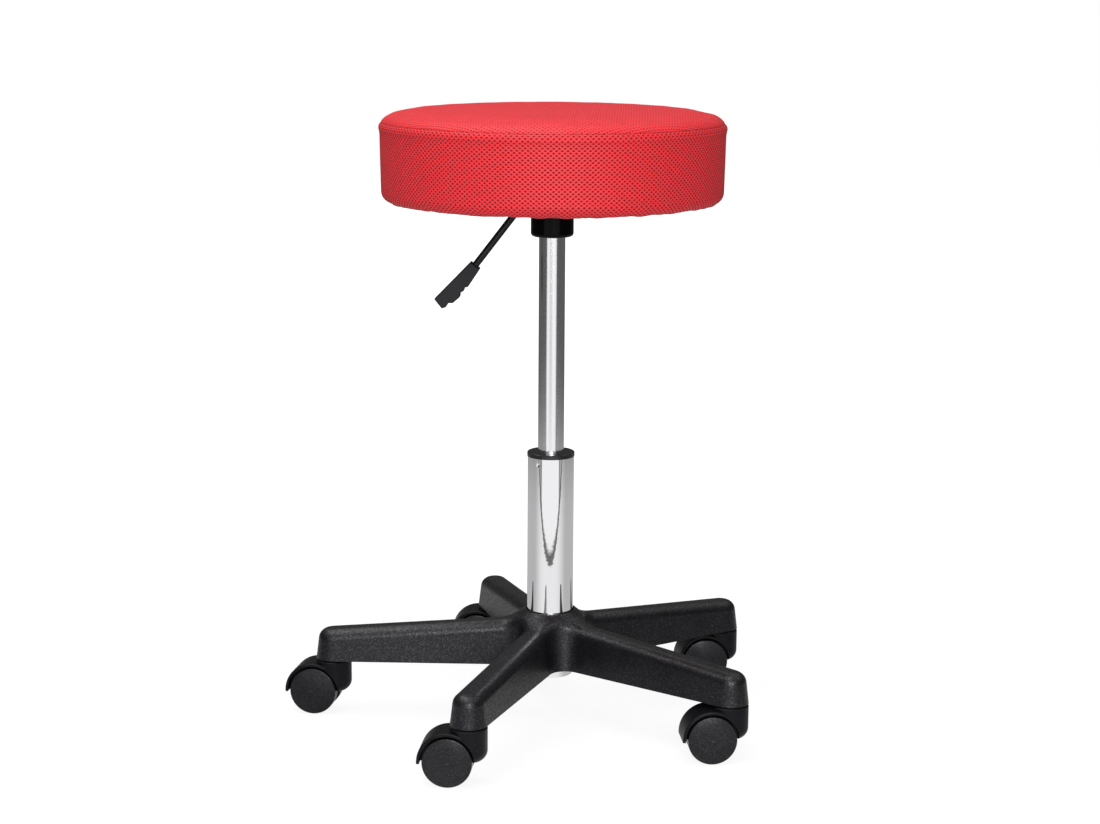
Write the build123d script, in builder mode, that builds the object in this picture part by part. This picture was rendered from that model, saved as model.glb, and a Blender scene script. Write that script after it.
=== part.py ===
from build123d import *
from math import acos, asin, cos, degrees, radians, sin, tan
import os

# Rolling stool: round padded seat on a gas column, five-leg moulded base on twin-wheel casters.
# Millimetres, +Z up. The origin is on the floor, on the column's axis, and leg 1 points along -X.

os.makedirs("parts", exist_ok=True)

# Clearances
running_clearance = 0.05  # radial, a shaft in its bore
rest_gap = 0.3  # between pieces that lie against each other
lever_side_gap = 1.25  # beside the lever in the socket's window

# Casters
caster_trail = 20.0  # swivel axis to wheel axle
caster_headings = (172.0, 176.5, 186.5, 189.0, 179.0)  # direction of each trail, degrees
wheel_radius = 25.5
wheel_width = 10.6
wheel_edge = 1.2
wheel_dome = 3.4
wheel_wall = 3.0
axle_radius = 3.0
axle_boss_wall = 4.0
axle_depth = 8.8  # length of axle in each wheel
fork_width = 14.0  # between the two wheels
hood_gap = 2.5
hood_wall = 3.0
hood_lap = 0.6  # hood past the wheels' outer faces
hood_drop = 1.5  # hood's ends below the axle
hood_rounding = 1.5
housing_drop = 2.0  # housing's floor below the axle
housing_rise = 3.0  # housing's top above the hood
housing_rounding = 12.0
housing_chamfer = 1.2
stem_radius = 5.5
stem_floor = 5.3
stem_length = 28.0  # in the leg
stem_tip = 1.0
stem_flange_radius = 9.0
stem_flange = 1.2
grip_ring_height = 3.0
grip_ring_depth = 1.0
grip_ring_drop = 8.0  # below the stem's tip
grip_ring_slot = 2.5

# Base
leg_count = 5
leg_reach = 237.0  # column axis to swivel axis
leg_end_radius = 19.2
leg_end_height = 33.5
leg_slope = 4.2
leg_draft = 7.0
leg_edge_radius = 12.0
leg_wall = 3.2
leg_blend = 17.0  # between two legs, in plan
rib_thickness = 2.6
rib_count = 3
stem_boss_wall = 4.5
hub_radius = 40.0  # where the hollows of the legs begin
hub_height = 59.0  # above the legs' underside
hub_hollow = 29.0
hub_rim_wall = 2.3
hub_flare = 45.0  # radius of the sweep from the legs' tops up to the rim
hub_recess = 4.0
hub_recess_gap = 1.0
bore_wall = 4.0

# Gas column
column_radius = 25.0
column_wall = 1.8
column_exposed = 170.1  # above the hub
column_overhang = 13.0  # below the hub
column_taper = 0.8  # drawn in at the foot
column_floor = 3.0
dimple_radius = 4.5
dimple_depth = 0.8
dimple_drop = 6.5
dimple_angle = 239.3
bush_stand = 0.5  # flange past the tube
bush_flange = 4.7
bush_chamfer = 0.6
bush_length = 75.0
bush_land = 16.0
bush_relief_wall = 3.5
bush_notches = 24
bush_notch_width = 1.2
bush_notch_depth = 0.8
tube_radius = 14.0
tube_wall = 2.8
tube_visible = 232.2  # between the bush and the socket
tube_guided = 64.1  # inside the bush
tube_lip = 1.5
tube_taper = 0.6
rod_radius = 5.0
rod_foot_radius = 4.0
rod_tip = 2.6
gland_length = 18.0
piston_length = 12.0
piston_lift = 4.0  # above the gland at full height
piston_nut_flats = 13.0
piston_nut_height = 5.0
valve_length = 28.0
bump_stop_radius = 15.0
bump_stop_height = 8.0
race_radius = 13.0
race_thickness = 2.0
ball_radius = 2.0
ball_circle = 8.8
ball_count = 9
cage_thickness = 2.6
cage_wall = 1.0
retaining_washer_radius = 12.0
retaining_washer_thickness = 1.5
clip_radius = 8.5
clip_thickness = 1.2
clip_depth = 1.0
clip_slot = 5.0

# Socket, lever and plate under the seat
socket_radius = 22.75
socket_rounding = 4.0
socket_wall = 3.75
taper_length = 22.0
release_radius = 4.0
release_dome = 6.0
release_stand = 3.95
release_length = 20.0
release_travel = 4.0
lever_radius = 3.75
lever_headroom = 2.95
lever_inner_end = 2.0  # past the column axis
lever_pivot = 13.0  # column axis to pivot
lever_eye_radius = 5.5
lever_pin_radius = 2.0
lever_corner = 34.5  # column axis to the bend
lever_bend_radius = 20.0
lever_slope = 52.7
lever_arm = 77.4  # bend to the grip
lever_in_grip = 26.0
grip_width = 18.0
grip_edge = 1.0
grip_bore_end = 1.0
plate_size = 150.0
plate_corner = 14.0
plate_thickness = 2.5
plate_rim = 6.0
bolt_pitch = 110.0
bolt_radius = 3.0
bolt_hole_gap = 0.4
bolt_head_flats = 10.0
bolt_head_height = 4.0
bolt_washer_radius = 6.0
bolt_washer_thickness = 1.5
tee_barrel_wall = 1.0
tee_barrel_length = 9.0
tee_flange_radius = 9.0
tee_flange = 1.2

# Seat
seat_radius = 182.0
seat_thickness = 96.8
seat_crown = 3.2
seat_top_rounding = 21.7
seat_bottom_rounding = 14.0
seat_draw_in = 0.7
seam_drop = 13.5  # seam below the seat's top
seam_radius = 1.9
seam_stand = 1.0
cover_thickness = 2.2
board_thickness = 12.0
board_margin = 3.0
hem_radius = 126.0
hem_roll = 3.2
elastic_radius = 1.5

# Heights and widths of the casters and legs
axle_height = wheel_radius
hood_radius = wheel_radius + hood_gap + hood_wall
hood_width = fork_width + 2 * (rest_gap + wheel_width + hood_lap)
housing_radius = leg_end_radius
housing_floor = axle_height - housing_drop
housing_top = axle_height + hood_radius + housing_rise
leg_underside = housing_top + rest_gap + stem_flange
first_leg = 180.0

# Heights of the column
hub_bottom = leg_underside
hub_top = leg_underside + hub_height
column_bottom = hub_bottom - column_overhang
column_top = hub_top + column_exposed
column_bore = column_radius - column_wall
column_floor_top = column_bottom + column_floor
lower_race_bottom = column_floor_top + bump_stop_height
cage_middle = lower_race_bottom + race_thickness + ball_radius
upper_race_bottom = cage_middle + ball_radius
rod_shoulder = upper_race_bottom + race_thickness
clip_top = column_bottom - retaining_washer_thickness - running_clearance
clip_bottom = clip_top - clip_thickness
rod_bottom = clip_bottom - rod_tip
tube_bore = tube_radius - tube_wall
tube_bottom = column_top - tube_guided
gland_bottom = tube_bottom + tube_lip
piston_bottom = gland_bottom + gland_length + piston_lift
piston_top = piston_bottom + piston_length
bush_top = column_top + bush_flange
bush_flange_radius = column_radius + bush_stand

# Heights of the lever, plate and seat
socket_bottom = bush_top + tube_visible
tube_top = socket_bottom + taper_length
release_top = tube_top + release_stand
release_bottom = release_top - release_length
lever_height = release_top + rest_gap + lever_radius
socket_top = lever_height + lever_radius + lever_headroom
plate_bottom = socket_top
board_bottom = plate_bottom + plate_thickness
board_top = board_bottom + board_thickness
seat_bottom = board_bottom - cover_thickness - rest_gap
seat_top = seat_bottom + seat_thickness
board_rounding = seat_bottom_rounding - cover_thickness - board_margin
foam_bottom = board_top + rest_gap


# Casters: one of each piece, with the swivel axis on Z and the trail along -X
axle_place = (-caster_trail, axle_height)
well_radius = wheel_radius + hood_gap

with BuildPart() as caster_body:
    with BuildSketch(Plane.XZ):
        with Locations(axle_place):
            Circle(hood_radius)
        with Locations((-caster_trail, axle_height - hood_drop)):
            Rectangle(3 * hood_radius, 2 * hood_radius, align=(Align.CENTER, Align.MAX), mode=Mode.SUBTRACT)
        with Locations((0, axle_height)):
            Rectangle(hood_radius, 3 * hood_radius, align=(Align.MIN, Align.CENTER), mode=Mode.SUBTRACT)
    extrude(amount=hood_width / 2, both=True)
    fillet(caster_body.edges().filter_by(GeomType.CIRCLE), hood_rounding)
    with BuildSketch(Plane.XZ) as housing_section:
        with Locations((0, housing_floor)):
            Rectangle(housing_radius, housing_top - housing_floor, align=Align.MIN)
        lower_corner = housing_section.vertices().group_by(Axis.X)[-1].sort_by(Axis.Y)[0]
        fillet(lower_corner, housing_rounding)
    revolve(axis=Axis.Z)
    chamfer(caster_body.edges().group_by(Axis.Z)[-1], housing_chamfer)
    for side in (1, -1):
        with BuildSketch(Plane.XZ.offset(side * fork_width / 2)):
            with Locations(axle_place):
                Circle(well_radius)
        extrude(amount=side * hood_radius, mode=Mode.SUBTRACT)
    with BuildSketch(Plane.XZ):
        with Locations(axle_place):
            Circle(axle_radius + axle_boss_wall)
    extrude(amount=fork_width / 2, both=True)
    with BuildSketch(Plane.XZ):
        with Locations(axle_place):
            Circle(axle_radius + running_clearance)
    extrude(amount=fork_width, both=True, mode=Mode.SUBTRACT)
    with BuildSketch(Plane.XY.offset(housing_floor + stem_floor)):
        Circle(stem_radius + running_clearance)
    extrude(amount=housing_top, mode=Mode.SUBTRACT)

with BuildPart() as caster_axle:
    with BuildSketch(Plane.XZ):
        with Locations(axle_place):
            Circle(axle_radius)
    extrude(amount=fork_width / 2 + axle_depth, both=True)
    chamfer(caster_axle.edges(), axle_radius / 6)

# The wheel turns on Y, with its domed face towards +Y
wheel_inner = fork_width / 2 + rest_gap
wheel_outer = wheel_inner + wheel_width
axle_end = fork_width / 2 + axle_depth + rest_gap

with BuildPart() as wheel:
    with BuildSketch(Plane.XY) as wheel_section:
        with BuildLine():
            rim = Polyline(
                (axle_radius + running_clearance, wheel_inner),
                (wheel_radius, wheel_inner),
                (wheel_radius, wheel_outer),
            )
            dome = TangentArc((0, wheel_outer + wheel_dome), (wheel_radius, wheel_outer), tangent=(1, 0))
            Polyline(
                dome @ 0,
                (0, axle_end),
                (axle_radius + running_clearance, axle_end),
                rim @ 0,
            )
        make_face()
        tread_corner = wheel_section.vertices().group_by(Axis.X)[-1].sort_by(Axis.Y)[-1]
        fillet(tread_corner, wheel_edge)
    revolve(axis=Axis.Y)
    with BuildSketch(Plane.XZ.offset(-wheel_inner)):
        Circle(wheel_radius - wheel_wall)
        Circle(axle_radius + axle_boss_wall, mode=Mode.SUBTRACT)
    extrude(amount=-(wheel_width - wheel_wall), mode=Mode.SUBTRACT)

grip_ring_top = leg_underside + stem_length - grip_ring_drop
grip_ring_bottom = grip_ring_top - grip_ring_height
stem_core = stem_radius - grip_ring_depth

with BuildPart() as stem:
    with BuildSketch(Plane.XZ):
        with BuildLine():
            Polyline(
                (0, housing_floor + stem_floor + rest_gap),
                (stem_radius, housing_floor + stem_floor + rest_gap),
                (stem_radius, leg_underside - stem_flange),
                (stem_flange_radius, leg_underside - stem_flange),
                (stem_flange_radius, leg_underside),
                (stem_radius, leg_underside),
                (stem_radius, grip_ring_bottom),
                (stem_core, grip_ring_bottom),
                (stem_core, grip_ring_top),
                (stem_radius, grip_ring_top),
                (stem_radius, leg_underside + stem_length - stem_tip),
                (stem_radius - stem_tip, leg_underside + stem_length),
                (0, leg_underside + stem_length),
                close=True,
            )
        make_face()
    revolve(axis=Axis.Z)

with BuildPart() as grip_ring:
    with BuildSketch(Plane.XY.offset(grip_ring_bottom + running_clearance)):
        Circle(stem_radius)
        Circle(stem_core + running_clearance, mode=Mode.SUBTRACT)
        Rectangle(2 * stem_radius, grip_ring_slot, align=(Align.MIN, Align.CENTER), mode=Mode.SUBTRACT)
    extrude(amount=grip_ring_height - 2 * running_clearance)

with BuildPart() as caster_stems:
    with PolarLocations(leg_reach, leg_count, start_angle=first_leg):
        add(stem.part)

with BuildPart() as stem_grip_rings:
    with PolarLocations(leg_reach, leg_count, start_angle=first_leg):
        add(grip_ring.part)


def foot_radius(height):
    """Outer radius of the column's tapered foot at a height below the hub's recess."""
    share = (hub_top - hub_recess - height) / (hub_top - hub_recess - column_bottom)
    return column_radius - column_taper * share


# Base: one leg along +X and the hollow under it, then the whole moulding
def sloping_plane(height):
    """Plane of a leg's top, height above its underside at the swivel axis."""
    return Plane(
        origin=(leg_reach, 0, leg_underside + height),
        x_dir=(cos(radians(leg_slope)), 0, -sin(radians(leg_slope))),
        z_dir=(sin(radians(leg_slope)), 0, cos(radians(leg_slope))),
    )


rib_start = hub_radius
rib_end = leg_reach - stem_radius - stem_boss_wall
rib_step = (rib_end - rib_start) / (rib_count + 1)

with BuildPart() as leg_hollow:
    with BuildSketch(Plane.XY.offset(leg_underside)):
        with Locations((leg_reach / 2, 0)):
            SlotCenterToCenter(leg_reach, 2 * (leg_end_radius - leg_wall))
    extrude(amount=hub_height + hub_radius, taper=leg_draft)
    split(bisect_by=sloping_plane(leg_end_height - leg_wall), keep=Keep.BOTTOM)
    fillet(leg_hollow.faces().sort_by(Axis.Z)[-1].edges(), leg_edge_radius - leg_wall)
    with BuildSketch(Plane.XY.offset(leg_underside)):
        Circle(hub_radius)
        with Locations((leg_reach, 0)):
            Circle(stem_radius + stem_boss_wall)
        for rib in range(1, rib_count + 1):
            with Locations((rib_start + rib * rib_step, 0)):
                Rectangle(rib_thickness, 2 * leg_end_radius)
        with Locations((rib_end, 0)):
            Rectangle(2 * (leg_end_radius + leg_wall), rib_thickness, align=(Align.MIN, Align.CENTER))
    extrude(amount=hub_height + hub_radius, mode=Mode.SUBTRACT)

hub_rim_radius = column_radius + hub_recess_gap + hub_rim_wall
leg_far_end = leg_reach + leg_end_radius
slope = radians(leg_slope)


def leg_top(radius):
    """Height of the legs' tops at a distance from the column's axis."""
    return leg_underside + leg_end_height + (leg_reach - radius) * tan(slope)


first_leg_plane = Plane(origin=(0, 0, 0), x_dir=(-1, 0, 0), z_dir=(0, 1, 0))
rim_lift = (hub_top - leg_top(hub_rim_radius)) * cos(slope)  # rim above the slope of the legs
flare_turn = acos(1 - rim_lift / hub_flare)
flare_radius = hub_rim_radius + hub_flare * sin(flare_turn) * cos(slope) - rim_lift * sin(slope)

with BuildPart() as star_base:
    with BuildSketch(Plane.XY.offset(leg_underside)) as star_plan:
        with PolarLocations(leg_reach / 2, leg_count, start_angle=first_leg):
            SlotCenterToCenter(leg_reach, 2 * leg_end_radius)
        inner_corners = star_plan.vertices().sort_by_distance((0, 0, leg_underside))[:leg_count]
        fillet(inner_corners, leg_blend)
    extrude(amount=2 * hub_height, taper=leg_draft)
    with BuildSketch(first_leg_plane):
        with BuildLine():
            ramp = Line((leg_far_end, leg_top(leg_far_end)), (flare_radius, leg_top(flare_radius)))
            flare_corner = ramp @ 1 + ramp % 1 * hub_flare * tan(flare_turn / 2)
            flare = Bezier(ramp @ 1, flare_corner, (hub_rim_radius, hub_top))
            Polyline(flare @ 1, (0, hub_top), (0, leg_underside), (leg_far_end, leg_underside), ramp @ 0)
        make_face()
    revolve(axis=Axis.Z, mode=Mode.INTERSECT)
    top_edges = star_base.edges().filter_by(GeomType.CIRCLE, reverse=True)
    top_edges = top_edges.filter_by(lambda edge: edge.bounding_box().min.Z > leg_top(leg_far_end) - rest_gap)
    top_edges = top_edges.filter_by(lambda edge: edge.bounding_box().size.Y > running_clearance)
    fillet(top_edges, leg_edge_radius)
    with PolarLocations(0, leg_count, start_angle=first_leg):
        add(leg_hollow.part, mode=Mode.SUBTRACT)
    with BuildSketch(Plane.XY.offset(leg_underside)):
        with PolarLocations(leg_reach, leg_count, start_angle=first_leg):
            Circle(stem_radius + running_clearance)
    extrude(amount=stem_length + rest_gap, mode=Mode.SUBTRACT)
    with BuildSketch(Plane.XY.offset(hub_bottom)):
        Circle(hub_radius - leg_wall)
        Circle(column_radius + bore_wall, mode=Mode.SUBTRACT)
        with PolarLocations(0, 2 * leg_count):
            Rectangle(hub_radius, rib_thickness, align=(Align.MIN, Align.CENTER), mode=Mode.SUBTRACT)
    extrude(amount=hub_hollow, mode=Mode.SUBTRACT)
    with BuildSketch(Plane.XZ):
        with BuildLine():
            Polyline(
                (0, hub_bottom),
                (foot_radius(hub_bottom) + running_clearance, hub_bottom),
                (column_radius + running_clearance, hub_top - hub_recess),
                (column_radius + hub_recess_gap, hub_top - hub_recess),
                (column_radius + hub_recess_gap, hub_top),
                (0, hub_top),
                close=True,
            )
        make_face()
    revolve(axis=Axis.Z, mode=Mode.SUBTRACT)


# Gas column, fixed pieces
with BuildPart() as column_tube:
    with BuildSketch(Plane.XZ):
        with BuildLine():
            Polyline(
                (rod_foot_radius + rest_gap, column_bottom),
                (foot_radius(column_bottom), column_bottom),
                (column_radius, hub_top - hub_recess),
                (column_radius, column_top),
                (column_bore, column_top),
                (column_bore, hub_top - hub_recess),
                (foot_radius(column_floor_top) - column_wall, column_floor_top),
                (rod_foot_radius + rest_gap, column_floor_top),
                close=True,
            )
        make_face()
    revolve(axis=Axis.Z)
    with Locations((0, 0, column_top - dimple_drop)):
        with PolarLocations(column_radius + dimple_radius - dimple_depth, 2, start_angle=dimple_angle):
            Sphere(dimple_radius, mode=Mode.SUBTRACT)

bush_inner = tube_radius + running_clearance
bush_outer = column_bore - running_clearance

with BuildPart() as guide_bush:
    with BuildSketch(Plane.XZ):
        with BuildLine():
            Polyline(
                (bush_inner, bush_top),
                (bush_flange_radius - bush_chamfer, bush_top),
                (bush_flange_radius, bush_top - bush_chamfer),
                (bush_flange_radius, column_top),
                (bush_outer, column_top),
                (bush_outer, column_top - bush_land),
                (bush_inner + bush_relief_wall, column_top - bush_land),
                (bush_inner + bush_relief_wall, column_top - bush_length + bush_land),
                (bush_outer, column_top - bush_length + bush_land),
                (bush_outer, column_top - bush_length),
                (bush_inner, column_top - bush_length),
                close=True,
            )
        make_face()
    revolve(axis=Axis.Z)
    with BuildSketch(Plane.XY.offset(bush_top)):
        with PolarLocations((bush_inner + bush_flange_radius) / 2, bush_notches):
            Rectangle((bush_flange_radius - bush_inner) / 3, bush_notch_width)
    extrude(amount=-bush_notch_depth, mode=Mode.SUBTRACT)

with BuildPart() as bump_stop:
    with BuildSketch(Plane.XY.offset(column_floor_top)):
        Circle(bump_stop_radius)
        Circle(rod_foot_radius + rest_gap, mode=Mode.SUBTRACT)
    extrude(amount=bump_stop_height)

with BuildPart() as bearing_race_lower:
    with BuildSketch(Plane.XY.offset(lower_race_bottom)):
        Circle(race_radius)
        Circle(rod_foot_radius + rest_gap, mode=Mode.SUBTRACT)
    extrude(amount=race_thickness)

with BuildPart() as retaining_washer:
    with BuildSketch(Plane.XY.offset(column_bottom)):
        Circle(retaining_washer_radius)
        Circle(rod_foot_radius + running_clearance, mode=Mode.SUBTRACT)
    extrude(amount=-retaining_washer_thickness)


# Gas column, thrust bearing's cage and balls
ball_pocket = ball_radius + running_clearance

with BuildPart() as bearing_cage:
    with BuildSketch(Plane.XY.offset(cage_middle)):
        Circle(ball_circle + ball_pocket + cage_wall)
        Circle(ball_circle - ball_pocket - cage_wall, mode=Mode.SUBTRACT)
        with PolarLocations(ball_circle, ball_count):
            Circle(ball_pocket, mode=Mode.SUBTRACT)
    extrude(amount=cage_thickness / 2, both=True)

with BuildPart() as bearing_balls:
    with Locations((0, 0, cage_middle)):
        with PolarLocations(ball_circle, ball_count):
            Sphere(ball_radius - running_clearance / 2)


# Gas column, pieces that swivel but stay at their height
with BuildPart() as bearing_race_upper:
    with BuildSketch(Plane.XY.offset(upper_race_bottom)):
        Circle(race_radius)
        Circle(rod_foot_radius + running_clearance, mode=Mode.SUBTRACT)
    extrude(amount=race_thickness)

with BuildPart() as piston_rod:
    with BuildSketch(Plane.XZ):
        with BuildLine():
            Polyline(
                (0, rod_bottom),
                (rod_foot_radius, rod_bottom),
                (rod_foot_radius, clip_bottom - running_clearance),
                (rod_foot_radius - clip_depth, clip_bottom - running_clearance),
                (rod_foot_radius - clip_depth, clip_top + running_clearance),
                (rod_foot_radius, clip_top + running_clearance),
                (rod_foot_radius, rod_shoulder),
                (rod_radius, rod_shoulder),
                (rod_radius, piston_bottom),
                (rod_foot_radius, piston_bottom),
                (rod_foot_radius, piston_top + piston_nut_height),
                (0, piston_top + piston_nut_height),
                close=True,
            )
        make_face()
    revolve(axis=Axis.Z)

with BuildPart() as piston:
    with BuildSketch(Plane.XY.offset(piston_bottom)):
        Circle(tube_bore - running_clearance)
        Circle(rod_foot_radius + running_clearance, mode=Mode.SUBTRACT)
    extrude(amount=piston_length)

with BuildPart() as piston_nut:
    with BuildSketch(Plane.XY.offset(piston_top)):
        RegularPolygon(piston_nut_flats / 2, 6, major_radius=False)
        Circle(rod_foot_radius + running_clearance, mode=Mode.SUBTRACT)
    extrude(amount=piston_nut_height)

with BuildPart() as retaining_clip:
    with BuildSketch(Plane.XY.offset(clip_bottom)):
        Circle(clip_radius)
        Circle(rod_foot_radius - clip_depth + running_clearance, mode=Mode.SUBTRACT)
        Rectangle(2 * clip_radius, clip_slot, align=(Align.MIN, Align.CENTER), mode=Mode.SUBTRACT)
    extrude(amount=clip_thickness)


# Gas column, pieces that rise with the seat
with BuildPart() as pressure_tube:
    with BuildSketch(Plane.XZ):
        with BuildLine():
            Polyline(
                (tube_bore - tube_wall, tube_bottom),
                (tube_radius, tube_bottom),
                (tube_radius, socket_bottom),
                (tube_radius - tube_taper, tube_top),
                (tube_bore, tube_top),
                (tube_bore, gland_bottom),
                (tube_bore - tube_wall, gland_bottom),
                close=True,
            )
        make_face()
    revolve(axis=Axis.Z)

with BuildPart() as rod_gland:
    with BuildSketch(Plane.XY.offset(gland_bottom)):
        Circle(tube_bore - running_clearance)
        Circle(rod_radius + running_clearance, mode=Mode.SUBTRACT)
    extrude(amount=gland_length)

with BuildPart() as valve_body:
    with BuildSketch(Plane.XY.offset(tube_top - valve_length)):
        Circle(tube_bore - running_clearance)
    extrude(amount=valve_length)
    with BuildSketch(Plane.XY.offset(release_bottom - release_travel)):
        Circle(release_radius + running_clearance)
    extrude(amount=release_length + release_travel, mode=Mode.SUBTRACT)

with BuildPart() as release_pin:
    with BuildSketch(Plane.XZ):
        with BuildLine():
            dome_start = release_top - release_dome + (release_dome**2 - release_radius**2) ** 0.5
            pin_end = RadiusArc((0, release_top), (release_radius, dome_start), release_dome)
            Polyline(pin_end @ 1, (release_radius, release_bottom), (0, release_bottom), pin_end @ 0)
        make_face()
    revolve(axis=Axis.Z)


# Socket under the seat: taper for the tube, window for the lever
socket_bore = tube_radius + running_clearance

with BuildPart() as column_socket:
    with BuildSketch(Plane.XZ) as socket_section:
        with BuildLine():
            Polyline(
                (socket_bore, socket_bottom),
                (socket_radius, socket_bottom),
                (socket_radius, socket_top),
                (socket_radius - socket_wall, socket_top),
                (socket_radius - socket_wall, tube_top),
                (socket_bore - tube_taper, tube_top),
                close=True,
            )
        make_face()
        lower_edge = socket_section.vertices().group_by(Axis.X)[-1].sort_by(Axis.Y)[0]
        fillet(lower_edge, socket_rounding)
    revolve(axis=Axis.Z)
    with BuildSketch(Plane.XY.offset(lever_height - lever_radius - lever_side_gap)):
        Rectangle(2 * socket_radius, 2 * (lever_radius + lever_side_gap), align=(Align.MAX, Align.CENTER))
        Circle(socket_radius - socket_wall, mode=Mode.SUBTRACT)
    extrude(amount=socket_top - lever_height + lever_radius + lever_side_gap, mode=Mode.SUBTRACT)
    with BuildSketch(Plane.XZ):
        with Locations((-lever_pivot, lever_height)):
            Circle(lever_pin_radius + running_clearance)
    extrude(amount=2 * socket_radius, both=True, mode=Mode.SUBTRACT)

with BuildPart() as lever_pivot_pin:
    with BuildSketch(Plane.XZ):
        with Locations((-lever_pivot, lever_height)):
            Circle(lever_pin_radius)
    extrude(amount=(socket_radius**2 - (lever_pivot + lever_pin_radius) ** 2) ** 0.5, both=True)


# Lever: rod along -X that bends down, and the grip on its end
slope_x = -cos(radians(lever_slope))
slope_z = -sin(radians(lever_slope))
grip_x = -lever_corner + lever_arm * slope_x
grip_z = lever_height + lever_arm * slope_z

with BuildPart() as lever_rod:
    with BuildLine() as lever_path:
        FilletPolyline(
            (lever_inner_end, 0, lever_height),
            (-lever_corner, 0, lever_height),
            (grip_x + lever_in_grip * slope_x, 0, grip_z + lever_in_grip * slope_z),
            radius=lever_bend_radius,
        )
    with BuildSketch(Plane(origin=(lever_inner_end, 0, lever_height), z_dir=(-1, 0, 0))):
        Circle(lever_radius)
    sweep()
    with BuildSketch(Plane.XZ):
        with Locations((-lever_pivot, lever_height)):
            Circle(lever_eye_radius)
    extrude(amount=lever_radius, both=True)
    with BuildSketch(Plane.XZ):
        with Locations((-lever_pivot, lever_height)):
            Circle(lever_pin_radius + running_clearance)
    extrude(amount=2 * lever_radius, both=True, mode=Mode.SUBTRACT)

# Outline of the grip from the side: along the rod, then across it with the finger side positive
grip_outline = (
    (0.0, -6.0),
    (54.9, -12.6),
    (57.9, -0.5),
    (54.0, 2.2),
    (48.8, 1.8),
    (46.0, 5.4),
    (36.7, 7.4),
    (32.9, 4.9),
    (28.6, 6.7),
    (24.9, 5.5),
    (22.2, 7.7),
    (0.0, 6.2),
)
grip_plane = Plane(origin=(grip_x, 0, grip_z), x_dir=(slope_x, 0, slope_z), z_dir=(0, -1, 0))

with BuildPart() as lever_grip:
    with BuildSketch(grip_plane):
        with BuildLine():
            Polyline(*grip_outline, close=True)
        make_face()
    extrude(amount=grip_width / 2, both=True)
    fillet(lever_grip.faces().filter_by(Axis.Y).edges(), grip_edge)
    with BuildSketch(Plane(origin=(grip_x, 0, grip_z), z_dir=(slope_x, 0, slope_z))):
        Circle(lever_radius + running_clearance)
    extrude(amount=lever_in_grip + grip_bore_end, mode=Mode.SUBTRACT)


# Plate under the board, and its fasteners
bolt_height = board_top - tee_flange - plate_bottom + bolt_washer_thickness

with BuildPart() as seat_plate:
    with BuildSketch(Plane.XY.offset(plate_bottom)):
        RectangleRounded(plate_size, plate_size, plate_corner)
        with GridLocations(bolt_pitch, bolt_pitch, 2, 2):
            Circle(bolt_radius + bolt_hole_gap, mode=Mode.SUBTRACT)
    extrude(amount=plate_thickness)
    with BuildSketch(Plane.XY.offset(plate_bottom)):
        RectangleRounded(plate_size, plate_size, plate_corner)
        inner_size = plate_size - 2 * plate_thickness
        RectangleRounded(inner_size, inner_size, plate_corner - plate_thickness, mode=Mode.SUBTRACT)
    extrude(amount=-plate_rim)

with BuildPart() as plate_washers:
    with BuildSketch(Plane.XY.offset(plate_bottom)):
        with GridLocations(bolt_pitch, bolt_pitch, 2, 2):
            Circle(bolt_washer_radius)
            Circle(bolt_radius + running_clearance, mode=Mode.SUBTRACT)
    extrude(amount=-bolt_washer_thickness)

with BuildPart() as plate_bolts:
    with BuildSketch(Plane.XY.offset(plate_bottom - bolt_washer_thickness)):
        with GridLocations(bolt_pitch, bolt_pitch, 2, 2):
            RegularPolygon(bolt_head_flats / 2, 6, major_radius=False)
    extrude(amount=-bolt_head_height)
    with BuildSketch(Plane.XY.offset(plate_bottom - bolt_washer_thickness)):
        with GridLocations(bolt_pitch, bolt_pitch, 2, 2):
            Circle(bolt_radius)
    extrude(amount=bolt_height)

tee_barrel_radius = bolt_radius + running_clearance + tee_barrel_wall

with BuildPart() as tee_nuts:
    with BuildSketch(Plane.XY.offset(board_top)):
        with GridLocations(bolt_pitch, bolt_pitch, 2, 2):
            Circle(tee_flange_radius)
    extrude(amount=-tee_flange)
    with BuildSketch(Plane.XY.offset(board_top)):
        with GridLocations(bolt_pitch, bolt_pitch, 2, 2):
            Circle(tee_barrel_radius)
    extrude(amount=-tee_barrel_length)
    with BuildSketch(Plane.XY.offset(board_top)):
        with GridLocations(bolt_pitch, bolt_pitch, 2, 2):
            Circle(bolt_radius + running_clearance)
    extrude(amount=-board_thickness, mode=Mode.SUBTRACT)


# Seat: board, foam, cover and the elastic in its hem
def padded_section(inset, bottom):
    """Half section of the padded form, drawn in by inset all round and cut off at bottom."""
    side = seat_radius - inset
    top_centre = seat_radius - seat_top_rounding
    rim = seat_top - seat_crown - inset
    foot_centre = seat_radius - seat_bottom_rounding
    with BuildSketch() as section:
        with BuildLine():
            crown = TangentArc((0, seat_top - inset), (top_centre, rim), tangent=(1, 0))
            edge = RadiusArc(crown @ 1, (side, rim - seat_top_rounding + inset), seat_top_rounding - inset)
            low = (side, seat_bottom + seat_bottom_rounding)
            waist = (side - seat_draw_in, (edge @ 1).Y / 2 + low[1] / 2)
            band = ThreePointArc(edge @ 1, waist, low)
            foot = RadiusArc(low, (foot_centre, seat_bottom + inset), seat_bottom_rounding - inset)
            Polyline(foot @ 1, (0, seat_bottom + inset), crown @ 0)
        make_face()
        with Locations((0, bottom)):
            Rectangle(2 * seat_radius, seat_thickness, align=(Align.MIN, Align.MAX), mode=Mode.SUBTRACT)
    return section.sketch


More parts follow.
